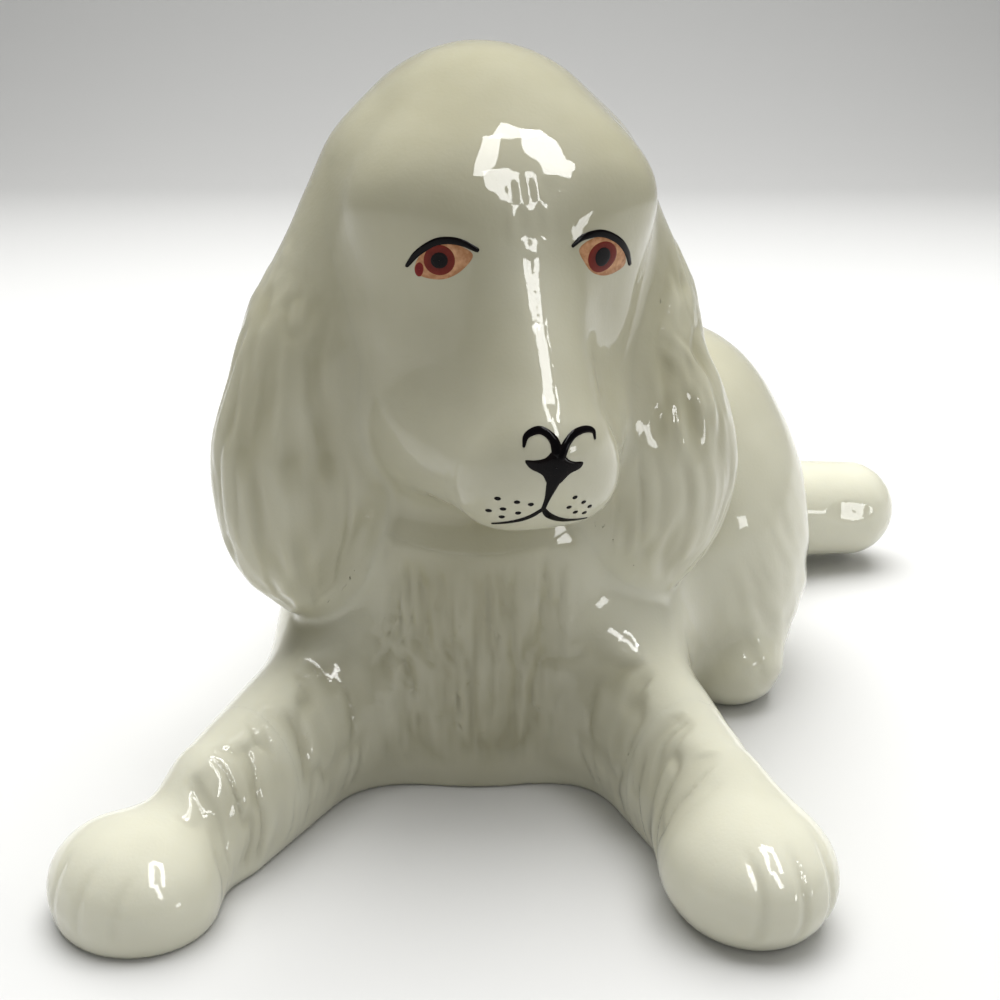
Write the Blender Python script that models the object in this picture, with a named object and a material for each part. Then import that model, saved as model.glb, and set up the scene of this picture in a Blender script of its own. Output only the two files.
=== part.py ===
"""Porcelain dog figurine: a spaniel lying down, its head turned to its left.

The dog is slip-cast in hollow sections, luted together at flat seams and glazed over.
Its eyes, nose, lips and whisker spots are enamel, fired on top of the glaze.
Lengths are in millimetres: x runs to the dog's left, y towards its back, z up.
"""

import math

import bmesh
import bpy
import numpy as np
from mathutils import Matrix, Vector
from mathutils.geometry import delaunay_2d_cdt

for leftover in list(bpy.data.objects):
    bpy.data.objects.remove(leftover, do_unlink=True)


def point(*values):
    return np.array(values, float)


# Casting
MM = 0.001
WALL = 4.0
SEAM_GAP = 0.3
SKIN_MESH = 5.2
CORE_MESH = 6.5
SLIVER = 0.03
EAR_MESH = 4.6
SOFT_BLEND = 14.0
BODY_BLEND = 10.0
FINE_BLEND = 8.0
CREASE_BLEND = 3.0

# Breast, trunk and haunches, as places and half sizes
BREAST = point(-5.0, 14.0, 18.0)
BREAST_SIZE = (41.0, 34.0, 58.0)
TRUNK_FRONT = BREAST + point(7.0, 16.0, 18.0)
TRUNK_REAR = TRUNK_FRONT + point(10.0, 32.0, -6.0)
TRUNK_RADII = (38.0, 36.0)
LEFT_HAUNCH = TRUNK_FRONT + point(34.0, 17.0, 2.0)
LEFT_HAUNCH_SIZE = (32.5, 38.0, 41.5)
RIGHT_HAUNCH = TRUNK_FRONT + point(-12.0, 28.0, -6.0)
RIGHT_HAUNCH_SIZE = (30.0, 36.0, 38.0)
LEFT_THIGH = LEFT_HAUNCH + point(11.0, -7.0, -12.0)
LEFT_THIGH_SIZE = (24.0, 30.0, 34.0)
LEFT_HIND_FOOT = LEFT_THIGH + point(3.0, -14.0, -16.0)
LEFT_HIND_FOOT_SIZE = (14.0, 18.0, 13.0)
LEFT_HIND_FOOT_TURN = 15.0
RIGHT_HIND_FOOT = RIGHT_HAUNCH + point(-18.0, -22.0, -21.0)
RIGHT_HIND_FOOT_SIZE = (13.0, 22.0, 11.0)
RIGHT_HIND_FOOT_TURN = -10.0

# Vent in the sole, which lets the kiln's heat out of the shell
VENT = TRUNK_FRONT * point(1.0, 1.0, 0.0) + point(4.0, 5.0, 0.0)
VENT_DIAMETER = 8.0

# Forelegs, stretched out on the ground
LEFT_ELBOW = BREAST + point(27.0, -10.0, -6.0)
RIGHT_ELBOW = BREAST + point(-24.0, -10.0, -6.0)
LEFT_WRIST = LEFT_ELBOW + point(15.5, -45.0, -3.0)
RIGHT_WRIST = RIGHT_ELBOW + point(-21.0, -45.0, -3.0)
FORELEG_RADII = (14.3, 10.5)
FORELEG_DEPTH = 1.4
LEFT_PAW = LEFT_WRIST + point(4.2, -14.0, -1.0)
RIGHT_PAW = RIGHT_WRIST + point(-11.5, -15.0, -4.0)
LEFT_PAW_SIZE = (14.8, 16.0, 12.0)
RIGHT_PAW_SIZE = (15.5, 13.5, 12.0)
LEFT_PAW_TURN = 24.0
RIGHT_PAW_TURN = -30.0
FORELEG_SEAM = 0.58

# Tail
TAIL_ROOT = TRUNK_REAR + point(28.0, 24.0, -10.0)
TAIL_TIP = TAIL_ROOT + point(56.0, 14.0, -5.0)
TAIL_RADII = (14.0, 13.0)
TAIL_SEAM = 0.46

# Neck and head; places on the head run right, forward and up from the middle of the skull
NECK_FOOT = BREAST + point(0.0, 0.0, 32.0)
NECK_TOP = NECK_FOOT + point(0.0, 0.0, 38.0)
NECK_RADII = (30.0, 25.0)
NECK_SEAM = BREAST + point(0.0, 0.0, 50.0)
NECK_SEAM_TILT = 30.0
HEAD = NECK_TOP + point(1.2, -8.0, 14.0)
HEAD_TURN = 15.0
SKULL_SIZE = (31.0, 33.0, 37.0)
BROW = point(13.0, 20.0, 12.0)
BROW_SIZE = (11.0, 9.0, 7.0)
BRIDGE_TOP = point(0.0, 23.5, 2.0)
BRIDGE_TIP = point(0.0, 40.5, -25.0)
BRIDGE_RADII = (10.5, 10.0)
MUZZLE_ROOT = point(0.0, 3.0, -17.0)
MUZZLE_TIP = point(0.0, 38.0, -30.0)
MUZZLE_RADII = (28.0, 11.0)
MUZZLE_DEPTH = 0.85
JAW_ROOT = point(16.0, 7.0, -28.0)
JAW_TIP = point(6.5, 37.0, -33.0)
JAW_RADII = (13.0, 7.5)

# Ears, hanging from the sides of the skull to the shoulders
SKULL_SIDE = point(SKULL_SIZE[0], 0.0, 0.0)
EAR_ROOT = SKULL_SIDE + point(-13.5, 2.0, 12.0)
EAR_BEND = SKULL_SIDE + point(-1.0, 1.0, -12.0)
EAR_RADII = (12.5, 13.5)
LEFT_EAR_LOBE = SKULL_SIDE + point(-2.5, 13.0, -42.0)
LEFT_EAR_LOBE_SIZE = (20.5, 14.5, 27.0)
RIGHT_EAR_LOBE = -SKULL_SIDE + point(-4.0, 5.0, -41.0)
RIGHT_EAR_LOBE_SIZE = (18.5, 13.5, 28.0)

# Enamel; its places are right and up from the middle of the skull, seen from the front of the face
ENAMEL_THICKNESS = 0.5
ENAMEL_GAP = 0.3
ENAMEL_MESH = 0.9
ENAMEL_NEAR = 0.08
RIGHT_IRIS = (-14.7, 3.3)
RIGHT_IRIS_SIZE = (2.4, 2.6)
RIGHT_PUPIL_SIZE = (1.3, 1.4)
LEFT_IRIS = (13.2, 2.8)
LEFT_IRIS_SIZE = (2.6, 2.6)
LEFT_PUPIL_SIZE = (1.4, 1.5)
RIGHT_EYE_CORNER = (-17.7, 1.4)
EYE_CORNER_SIZE = (0.5, 0.8)
LID_WIDTHS = (0.6, 1.0, 1.1, 1.1, 1.0, 0.8)
LIP_WIDTHS = (0.9, 1.0, 0.8, 0.5)
CURL_WIDTHS = (0.5, 0.9, 1.2, 1.4, 1.5, 1.8, 2.2)
SPOT_SIZE = (0.5, 0.45)


def turned(degrees):
    """Axes of a form turned towards the dog's left: its right, forward and up, as columns."""
    angle = math.radians(degrees)
    right = (math.cos(angle), math.sin(angle), 0.0)
    forward = (math.sin(angle), -math.cos(angle), 0.0)
    return np.column_stack([right, forward, (0.0, 0.0, 1.0)])


HEAD_AXES = turned(HEAD_TURN)


def on_head(place):
    return HEAD + HEAD_AXES @ place


def sided(place, side):
    """The place on the head's left, or with side -1 the same place on its right."""
    return place * point(side, 1.0, 1.0)


class Lump:
    """One swelling of the clay: a ball drawn out from start to end and stretched along its own axes."""

    def __init__(self, start, end=None, radii=(1.0, 1.0), stretch=(1.0, 1.0, 1.0), turn=0.0, blend=0.0):
        self.start = start
        self.end = start if end is None else end
        self.radii = radii
        self.stretch = np.array(stretch)
        self.axes = turned(turn)
        self.blend = blend

    def distance(self, points):
        """How far the points lie outside the swelling: less its radius, in its own stretched measure."""
        local = (points - self.start) @ self.axes / self.stretch
        run = (self.end - self.start) @ self.axes / self.stretch
        along = np.clip(local @ run / max(run @ run, 1e-9), 0.0, 1.0)
        local = local - along[:, None] * run
        reach = np.linalg.norm(local, axis=1)
        radius = self.radii[0] + (self.radii[1] - self.radii[0]) * along
        steepness = np.linalg.norm(local / self.stretch, axis=1) / np.maximum(reach, 1e-9)
        return (reach - radius) / np.maximum(steepness, 1e-9)

    def hull(self, level):
        """A closed mesh of the swelling, its surface moved out by level."""
        form = bmesh.new()
        for place, radius in ((self.start, self.radii[0]), (self.end, self.radii[1])):
            size = np.maximum(radius * self.stretch + level, 1.0)
            turn = Matrix(self.axes.tolist()).to_4x4()
            matrix = Matrix.Translation(Vector(place)) @ turn @ Matrix.Diagonal((*size, 1.0))
            bmesh.ops.create_icosphere(form, subdivisions=3, radius=1.0, matrix=matrix)
        bmesh.ops.convex_hull(form, input=form.verts)
        inner = [vertex for vertex in form.verts if not vertex.link_faces]
        bmesh.ops.delete(form, geom=inner, context="VERTS")
        mesh = bpy.data.meshes.new("swelling")
        form.to_mesh(mesh)
        form.free()
        return mesh


def blended(near, far, softness):
    """Smallest of two distances, with the crease between them filled over the softness."""
    share = np.clip(0.5 + 0.5 * (far - near) / softness, 0.0, 1.0)
    return far + (near - far) * share - softness * share * (1.0 - share)


def field(lumps, points):
    """Distance of the points from the blended skin of the lumps, negative inside."""
    total = lumps[0].distance(points)
    for lump in lumps[1:]:
        total = blended(total, lump.distance(points), lump.blend)
    return total


def slope(lumps, points, step=0.05):
    """Gradient of the field by central differences."""
    columns = []
    for axis in np.eye(3):
        rise = field(lumps, points + step * axis) - field(lumps, points - step * axis)
        columns.append(rise / (2.0 * step))
    return np.column_stack(columns)


def trunk_lumps():
    return [
        Lump(BREAST, stretch=BREAST_SIZE),
        Lump(TRUNK_FRONT, TRUNK_REAR, TRUNK_RADII, blend=SOFT_BLEND),
        Lump(LEFT_HAUNCH, stretch=LEFT_HAUNCH_SIZE, blend=BODY_BLEND),
        Lump(RIGHT_HAUNCH, stretch=RIGHT_HAUNCH_SIZE, blend=BODY_BLEND),
        Lump(LEFT_THIGH, stretch=LEFT_THIGH_SIZE, blend=FINE_BLEND),
        Lump(NECK_FOOT, NECK_TOP, NECK_RADII, blend=BODY_BLEND),
        Lump(LEFT_HIND_FOOT, stretch=LEFT_HIND_FOOT_SIZE, turn=LEFT_HIND_FOOT_TURN, blend=CREASE_BLEND),
        Lump(RIGHT_HIND_FOOT, stretch=RIGHT_HIND_FOOT_SIZE, turn=RIGHT_HIND_FOOT_TURN, blend=CREASE_BLEND),
    ]


def foreleg_lumps(elbow, wrist, paw, paw_size, paw_turn):
    return [
        Lump(elbow, wrist, FORELEG_RADII, (1.0, 1.0, FORELEG_DEPTH), blend=SOFT_BLEND),
        Lump(paw, stretch=paw_size, turn=paw_turn, blend=FINE_BLEND),
    ]


def head_lumps():
    muzzle = on_head(MUZZLE_ROOT), on_head(MUZZLE_TIP)
    lumps = [
        Lump(HEAD, stretch=SKULL_SIZE, turn=HEAD_TURN, blend=CREASE_BLEND),
        Lump(on_head(BRIDGE_TOP), on_head(BRIDGE_TIP), BRIDGE_RADII, blend=FINE_BLEND),
        Lump(*muzzle, MUZZLE_RADII, (1.0, 1.0, MUZZLE_DEPTH), HEAD_TURN, FINE_BLEND),
    ]
    for side in (1.0, -1.0):
        jaw = on_head(sided(JAW_ROOT, side)), on_head(sided(JAW_TIP, side))
        brow = on_head(sided(BROW, side))
        lumps.append(Lump(*jaw, JAW_RADII, blend=FINE_BLEND))
        lumps.append(Lump(brow, stretch=BROW_SIZE, turn=HEAD_TURN, blend=SOFT_BLEND))
    return lumps


def ear_lumps(root, bend, lobe, lobe_size):
    return [
        Lump(on_head(root), on_head(bend), EAR_RADII),
        Lump(on_head(lobe), stretch=lobe_size, turn=HEAD_TURN, blend=SOFT_BLEND),
    ]


BODY = trunk_lumps()
BODY += foreleg_lumps(RIGHT_ELBOW, RIGHT_WRIST, RIGHT_PAW, RIGHT_PAW_SIZE, RIGHT_PAW_TURN)
BODY += foreleg_lumps(LEFT_ELBOW, LEFT_WRIST, LEFT_PAW, LEFT_PAW_SIZE, LEFT_PAW_TURN)
BODY += [Lump(TAIL_ROOT, TAIL_TIP, TAIL_RADII, blend=FINE_BLEND)]
BODY += head_lumps()


def new_object(name, points, faces, smooth=True):
    mesh = bpy.data.meshes.new(name)
    mesh.from_pydata((np.asarray(points) * MM).tolist(), [], [list(face) for face in faces])
    if smooth:
        mesh.shade_smooth()
    piece = bpy.data.objects.new(name, mesh)
    bpy.context.scene.collection.objects.link(piece)
    return piece


def settled(piece):
    """The object with its modifiers worked into its mesh."""
    bpy.context.view_layer.update()
    shape = bpy.data.meshes.new_from_object(piece.evaluated_get(bpy.context.evaluated_depsgraph_get()))
    piece.modifiers.clear()
    piece.data = shape
    return piece


def skin(name, lumps, level, voxel):
    """Blended skin of the lumps, moved out by level: their hulls are remeshed as one and drawn onto it."""
    joined = bmesh.new()
    for lump in lumps:
        joined.from_mesh(lump.hull(level))
    mesh = bpy.data.meshes.new(name)
    joined.to_mesh(mesh)
    joined.free()
    clay = bpy.data.objects.new(name, mesh)
    bpy.context.scene.collection.objects.link(clay)
    remesh = clay.modifiers.new("remesh", "REMESH")
    remesh.mode = "VOXEL"
    remesh.voxel_size = voxel
    settled(clay)
    points = np.empty(3 * len(clay.data.vertices))
    clay.data.vertices.foreach_get("co", points)
    points = points.reshape(-1, 3)
    for _ in range(8):
        rise = slope(lumps, points)
        error = field(lumps, points) - level
        points -= rise * (error / np.maximum((rise**2).sum(axis=1), 0.1))[:, None]
    faces = [tuple(face.vertices) for face in clay.data.polygons]
    bpy.data.objects.remove(clay)
    return new_object(name, points, faces)


def boolean(piece, operation, cutter):
    """Cuts the piece with the cutter, or keeps what both hold, and settles the result."""
    modifier = piece.modifiers.new(cutter.name, "BOOLEAN")
    modifier.operation = operation
    modifier.object = cutter
    return settled(piece)


def cleaned(piece, closed=True):
    """Merges slivers that the cuts have left, splits the faces into triangles and closes a closed body."""
    form = bmesh.new()
    form.from_mesh(piece.data)
    bmesh.ops.remove_doubles(form, verts=form.verts, dist=SLIVER * MM)
    bmesh.ops.triangulate(form, faces=form.faces)
    bmesh.ops.dissolve_degenerate(form, edges=form.edges, dist=SLIVER * MM)
    if closed:
        bmesh.ops.holes_fill(form, edges=[edge for edge in form.edges if edge.is_boundary])
    bmesh.ops.triangulate(form, faces=form.faces)
    form.to_mesh(piece.data)
    form.free()


def copied(piece, name):
    twin = bpy.data.objects.new(name, piece.data.copy())
    bpy.context.scene.collection.objects.link(twin)
    return twin


def convex(name, form):
    """Object with the convex hull of the form's points."""
    bmesh.ops.convex_hull(form, input=form.verts)
    mesh = bpy.data.meshes.new(name)
    form.to_mesh(mesh)
    form.free()
    piece = bpy.data.objects.new(name, mesh)
    bpy.context.scene.collection.objects.link(piece)
    return piece


def block(name, start, along, length, half_width, half_height):
    """Upright box that starts at a flat face square to along and runs from it for the length."""
    along = np.array(along, float) / np.linalg.norm(along)
    across = np.cross(along, (0.0, 0.0, 1.0))
    up = np.cross(across, along)
    corners = [
        start + along * depth + across * side + up * height
        for depth in (0.0, length)
        for side in (-half_width, half_width)
        for height in (-half_height, half_height)
    ]
    form = bmesh.new()
    for corner in corners:
        form.verts.new(corner * MM)
    return convex(name, form)


def ground(name, height):
    """Block under the whole dog, with its top face at the height, that reaches past paws and tail."""
    reach = TAIL_TIP[1] - LEFT_PAW[1]
    start = VENT + point(0.0, -reach, height - reach / 2)
    return block(name, start, (0.0, 1.0, 0.0), 2 * reach, reach, reach / 2)


def removed(*things):
    for thing in things:
        bpy.data.objects.remove(thing, do_unlink=True)


# Hollow shell of the whole dog but its ears, flat underneath, with the vent in its sole
floor = ground("floor", 0.0)
raised_floor = ground("raised_floor", WALL)
core = boolean(skin("core", BODY, -WALL, CORE_MESH), "DIFFERENCE", raised_floor)
shell = boolean(skin("shell", BODY, 0.0, SKIN_MESH), "DIFFERENCE", floor)
boolean(shell, "DIFFERENCE", core)

vent_form = bmesh.new()
bmesh.ops.create_cone(
    vent_form,
    cap_ends=True,
    segments=24,
    radius1=VENT_DIAMETER / 2 * MM,
    radius2=VENT_DIAMETER / 2 * MM,
    depth=4 * WALL * MM,
    matrix=Matrix.Translation(Vector(VENT * MM)),
)
vent_mesh = bpy.data.meshes.new("vent")
vent_form.to_mesh(vent_mesh)
vent_form.free()
vent = bpy.data.objects.new("vent", vent_mesh)
bpy.context.scene.collection.objects.link(vent)
boolean(shell, "DIFFERENCE", vent)


# Seams: each casting is what a block holds of the shell, and the torso is the rest
def limb_block(root, tip, seam, radius, gap):
    """Block round a limb from its seam, a share of the way from root to tip, to beyond its end."""
    run = (tip - root) * point(1.0, 1.0, 0.0)
    start = root + seam * (tip - root) + gap * run / np.linalg.norm(run)
    return block("limb_block", start, run, np.linalg.norm(run) + 4 * radius, 2 * radius, 3 * radius)


def head_block(gap):
    """Block over the neck with upright sides, its lower face tilted up towards the back."""
    tilt = math.radians(NECK_SEAM_TILT)
    half_width = 1.15 * max(NECK_RADII[0], SKULL_SIZE[0])
    front = HEAD[1] - 3 * SKULL_SIZE[1]
    back = NECK_SEAM[1] + 1.3 * NECK_RADII[0]
    form = bmesh.new()
    for y in (front, back):
        seam_height = NECK_SEAM[2] + math.tan(tilt) * (y - NECK_SEAM[1]) + gap / math.cos(tilt)
        for x in (NECK_SEAM[0] - half_width, NECK_SEAM[0] + half_width):
            form.verts.new(point(x, y, seam_height) * MM)
            form.verts.new(point(x, y, HEAD[2] + 2 * SKULL_SIZE[2]) * MM)
    return convex("head_block", form)


def parted(name, make_block, *sizes):
    """Casting that the block holds, a seam's gap inside it; the torso gives up the whole block."""
    keeper = make_block(*sizes, SEAM_GAP)
    remover = make_block(*sizes, 0.0)
    cleaned(boolean(copied(shell, name), "INTERSECT", keeper))
    boolean(torso, "DIFFERENCE", remover)
    removed(keeper, remover)


torso = copied(shell, "torso_casting")
parted("head_casting", head_block)
parted("foreleg_left", limb_block, LEFT_ELBOW, LEFT_PAW, FORELEG_SEAM, FORELEG_RADII[0])
parted("foreleg_right", limb_block, RIGHT_ELBOW, RIGHT_PAW, FORELEG_SEAM, FORELEG_RADII[0])
parted("tail_casting", limb_block, TAIL_ROOT, TAIL_TIP, TAIL_SEAM, TAIL_RADII[0])
cleaned(torso)

# Ears, hollow too and scooped to fit the skull and the shoulder behind them
scoop = skin("scoop", BODY, SEAM_GAP, SKIN_MESH)
EARS = {
    "ear_left": ear_lumps(EAR_ROOT, EAR_BEND, LEFT_EAR_LOBE, LEFT_EAR_LOBE_SIZE),
    "ear_right": ear_lumps(
        sided(EAR_ROOT, -1.0), sided(EAR_BEND, -1.0), RIGHT_EAR_LOBE, RIGHT_EAR_LOBE_SIZE
    ),
}
for name, lumps in EARS.items():
    ear = skin(name, lumps, 0.0, EAR_MESH)
    ear_core = skin("ear_core", lumps, -WALL, EAR_MESH)
    boolean(ear, "DIFFERENCE", ear_core)
    cleaned(boolean(ear, "DIFFERENCE", scoop))
    removed(ear_core)
removed(floor, raised_floor, core, shell, vent, scoop)


# Enamel marks, drawn flat in front of the face and laid on its skin
def smooth_line(marks, closed=False, steps=4):
    """Points along a Catmull-Rom curve through the marks."""
    marks = np.array(marks, float)
    if closed:
        padded = np.vstack([marks[-1], marks, marks[0], marks[1]])
    else:
        padded = np.vstack([2 * marks[0] - marks[1], marks, 2 * marks[-1] - marks[-2]])
    line = []
    for before, start, end, after in zip(padded, padded[1:], padded[2:], padded[3:]):
        for share in np.arange(steps) / steps:
            line.append(
                0.5
                * (
                    2 * start
                    + (end - before) * share
                    + (2 * before - 5 * start + 4 * end - after) * share**2
                    + (3 * start - before - 3 * end + after) * share**3
                )
            )
    if not closed:
        line.append(marks[-1])
    return np.array(line)


def stroke(marks, widths, growth=0.0):
    """Outline of a brush stroke through the marks, as wide as the widths at them, and its round ends."""
    line = smooth_line(np.column_stack([marks, widths]))
    half = line[:, 2] / 2 + growth
    run = np.gradient(line[:, :2], axis=0)
    side = np.column_stack([-run[:, 1], run[:, 0]]) / np.linalg.norm(run, axis=1)[:, None]
    left = line[:, :2] + side * half[:, None]
    right = line[:, :2] - side * half[:, None]
    ahead = point(side[-1, 1], -side[-1, 0])
    behind = point(-side[0, 1], side[0, 0])
    return np.vstack([left, line[-1:, :2] + ahead * half[-1], right[::-1], line[:1, :2] + behind * half[0]])


def spot(centre, size, growth=0.0, sides=16):
    angles = np.arange(sides) * 2 * math.pi / sides
    return np.column_stack([
        centre[0] + (size[0] + growth) * np.cos(angles),
        centre[1] + (size[1] + growth) * np.sin(angles),
    ])


def inside(outline, places):
    """Whether each place lies within the closed outline, by the crossings to its right."""
    within = np.zeros(len(places), bool)
    for (x1, y1), (x2, y2) in zip(outline, np.roll(outline, -1, axis=0)):
        if y1 == y2:
            continue
        between = (places[:, 1] > min(y1, y2)) & (places[:, 1] <= max(y1, y2))
        within ^= between & (places[:, 0] < x1 + (places[:, 1] - y1) * (x2 - x1) / (y2 - y1))
    return within


def on_face(places, lift):
    """Points over the face's skin, straight behind the places, lifted off it."""
    reach = np.full(len(places), 2 * SKULL_SIZE[1])
    for _ in range(60):
        points = HEAD + np.column_stack([places[:, 0], reach, places[:, 1]]) @ HEAD_AXES.T
        reach -= field(BODY, points)
    rise = slope(BODY, points)
    return points + lift * rise / np.linalg.norm(rise, axis=1)[:, None]


def enamel(name, outlines, cuts=()):
    """Thin raised mark: the outlines joined, less the cuts, laid over the skin and thickened outwards."""
    loops = [*outlines, *cuts]
    low = np.min([loop.min(axis=0) for loop in outlines], axis=0)
    high = np.max([loop.max(axis=0) for loop in outlines], axis=0)
    columns, rows = np.meshgrid(*[np.arange(a, b, ENAMEL_MESH) for a, b in zip(low, high)])
    corners = np.vstack([*loops, np.column_stack([columns.ravel(), rows.ravel()])])
    edges = []
    first = 0
    for loop in loops:
        count = len(loop)
        edges += [(first + i, first + (i + 1) % count) for i in range(count)]
        first += count
    corners = [Vector(corner) for corner in corners]
    flat, _, triangles, *_ = delaunay_2d_cdt(corners, edges, [], 0, ENAMEL_NEAR)
    flat = np.array([tuple(corner) for corner in flat])
    triangles = np.array(triangles)
    middles = flat[triangles].mean(axis=1)
    kept = np.any([inside(loop, middles) for loop in outlines], axis=0)
    for loop in cuts:
        kept &= ~inside(loop, middles)
    triangles = triangles[kept]
    used, triangles = np.unique(triangles, return_inverse=True)
    piece = new_object(name, on_face(flat[used], ENAMEL_GAP), triangles.reshape(-1, 3))
    cleaned(piece, closed=False)
    thicken = piece.modifiers.new("thickness", "SOLIDIFY")
    thicken.thickness = ENAMEL_THICKNESS * MM
    thicken.offset = 1.0
    return piece


RIGHT_LID = [(-19.4, 2.1), (-18.0, 4.3), (-15.7, 6.1), (-13.7, 6.6), (-11.4, 6.3), (-9.1, 5.2)]
LEFT_LID = [(7.2, 5.3), (9.2, 6.5), (12.7, 6.8), (16.2, 5.3), (18.8, 2.8), (20.1, 0.5)]
RIGHT_WHITE = [
    (-16.6, 0.7), (-15.1, 0.0), (-13.1, 0.4), (-11.2, 1.8), (-9.6, 4.4), (-11.8, 6.2), (-14.2, 4.4),
]
LEFT_WHITE = [
    (8.1, 4.9), (9.1, 2.4), (11.2, 0.2), (14.5, -0.9), (17.7, -0.5), (19.3, 0.6), (17.6, 3.4), (12.7, 6.2),
]
NOSE_PATCH = [
    (-5.6, -25.7), (-4.1, -25.6), (-2.4, -25.2), (-1.0, -24.0), (0.4, -24.0), (1.4, -25.5),
    (2.6, -26.2), (4.4, -26.6), (3.9, -27.6), (1.8, -28.4), (0.0, -30.1), (-1.8, -30.0),
    (-2.9, -28.2), (-4.9, -27.0),
]
RIGHT_CURL = [
    (-5.5, -23.5), (-5.1, -22.1), (-4.1, -21.3), (-2.8, -21.0), (-1.6, -21.6), (-0.7, -22.8), (-0.3, -24.6),
]
LEFT_CURL = [
    (6.8, -23.4), (6.6, -22.2), (4.9, -21.6), (2.9, -21.9), (1.6, -22.9), (0.7, -24.2), (0.0, -25.6),
]
PHILTRUM = [(-0.9, -29.0), (-1.4, -31.0), (-1.7, -33.0), (-1.9, -34.8)]
PHILTRUM_WIDTHS = (2.6, 1.8, 1.1, 0.9)
RIGHT_LIP = [(-1.9, -34.8), (-3.8, -36.5), (-6.0, -37.6), (-9.0, -38.6)]
LEFT_LIP = [(-1.9, -34.8), (-0.5, -36.5), (2.4, -38.0), (7.2, -38.9)]
RIGHT_WHISKERS = [
    (-9.2, -32.9), (-10.2, -35.6), (-8.2, -34.9), (-6.3, -33.3), (-4.1, -33.7), (-5.8, -35.6), (-8.1, -36.7),
]
LEFT_WHISKERS = [(3.3, -33.0), (2.6, -35.0), (5.2, -34.4), (6.7, -35.7), (4.1, -36.4), (6.0, -37.0)]

tear = spot(RIGHT_EYE_CORNER, EYE_CORNER_SIZE)
tear_margin = spot(RIGHT_EYE_CORNER, EYE_CORNER_SIZE, ENAMEL_GAP)
enamel("eye_corner_right", [tear])
EYES = {
    "right": (RIGHT_WHITE, RIGHT_IRIS, RIGHT_IRIS_SIZE, RIGHT_PUPIL_SIZE, RIGHT_LID, [tear_margin]),
    "left": (LEFT_WHITE, LEFT_IRIS, LEFT_IRIS_SIZE, LEFT_PUPIL_SIZE, LEFT_LID, []),
}
for side, (white, iris, iris_size, pupil_size, lid, margins) in EYES.items():
    lid_margin = stroke(lid, LID_WIDTHS, ENAMEL_GAP)
    iris_margin = spot(iris, iris_size, ENAMEL_GAP)
    enamel(f"lid_line_{side}", [stroke(lid, LID_WIDTHS)])
    enamel(f"eye_white_{side}", [smooth_line(white, closed=True)], [lid_margin, iris_margin, *margins])
    pupil_margin = spot(iris, pupil_size, ENAMEL_GAP)
    enamel(f"iris_{side}", [spot(iris, iris_size)], [pupil_margin, lid_margin, *margins])
    enamel(f"pupil_{side}", [spot(iris, pupil_size)])

enamel("nose_mark", [
    smooth_line(NOSE_PATCH, closed=True),
    stroke(RIGHT_CURL, CURL_WIDTHS),
    stroke(LEFT_CURL, CURL_WIDTHS),
    stroke(PHILTRUM, PHILTRUM_WIDTHS),
])
philtrum_margin = stroke(PHILTRUM, PHILTRUM_WIDTHS, ENAMEL_GAP)
right_lip_margin = stroke(RIGHT_LIP, LIP_WIDTHS, ENAMEL_GAP)
enamel("lip_line_right", [stroke(RIGHT_LIP, LIP_WIDTHS)], [philtrum_margin])
enamel("lip_line_left", [stroke(LEFT_LIP, LIP_WIDTHS)], [philtrum_margin, right_lip_margin])
for side, whiskers in (("right", RIGHT_WHISKERS), ("left", LEFT_WHISKERS)):
    for number, place in enumerate(whiskers, start=1):
        enamel(f"whisker_spot_{side}_{number}", [spot(place, SPOT_SIZE, sides=10)])


# Finishes
def material(name, colour, roughness):
    finish = bpy.data.materials.new(name)
    finish.use_nodes = True
    shader = finish.node_tree.nodes["Principled BSDF"]
    shader.inputs["Base Color"].default_value = (*colour, 1.0)
    shader.inputs["Roughness"].default_value = roughness
    shader.inputs["Metallic"].default_value = 0.0
    return finish


FINISHES = {
    "casting": material("glazed_porcelain", (0.66, 0.66, 0.56), 0.08),
    "ear": material("glazed_porcelain_ear", (0.62, 0.62, 0.54), 0.08),
    "foreleg": material("glazed_porcelain_leg", (0.70, 0.69, 0.60), 0.08),
    "eye_white": material("peach_enamel", (0.72, 0.34, 0.17), 0.2),
    "eye_corner": material("dark_red_enamel", (0.22, 0.02, 0.02), 0.2),
    "iris": material("red_brown_enamel", (0.24, 0.035, 0.025), 0.2),
    "pupil": material("pupil_enamel", (0.012, 0.008, 0.008), 0.2),
    "lid": material("black_enamel", (0.01, 0.01, 0.012), 0.2),
    "nose": material("nose_enamel", (0.012, 0.012, 0.014), 0.15),
    "lip": material("lip_enamel", (0.015, 0.015, 0.018), 0.2),
    "whisker": material("whisker_enamel", (0.02, 0.02, 0.022), 0.25),
}
for piece in bpy.data.objects:
    family = next(word for word in FINISHES if word in piece.name)
    piece.data.materials.clear()
    piece.data.materials.append(FINISHES[family])

# The middle of the figurine's outline on the ground is its origin
ORIGIN = BREAST * point(1.0, 1.0, 0.0) + point(21.8, 6.6, 0.0)
centre = bpy.data.objects.new("figurine_centre", None)
bpy.context.scene.collection.objects.link(centre)
centre.location = Vector(-ORIGIN * MM)
for piece in bpy.data.objects:
    if piece is not centre:
        piece.parent = centre
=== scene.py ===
"""Glazed porcelain spaniel, cast in sections, luted together, glazed and painted on the glaze.

Lengths in the making are millimetres: x runs to the dog's left, y towards its back, z up.
A level is how far a point lies outside a form, and is negative inside it.
"""
import math

import bpy
import numpy as np
from mathutils import Matrix, Vector


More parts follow.
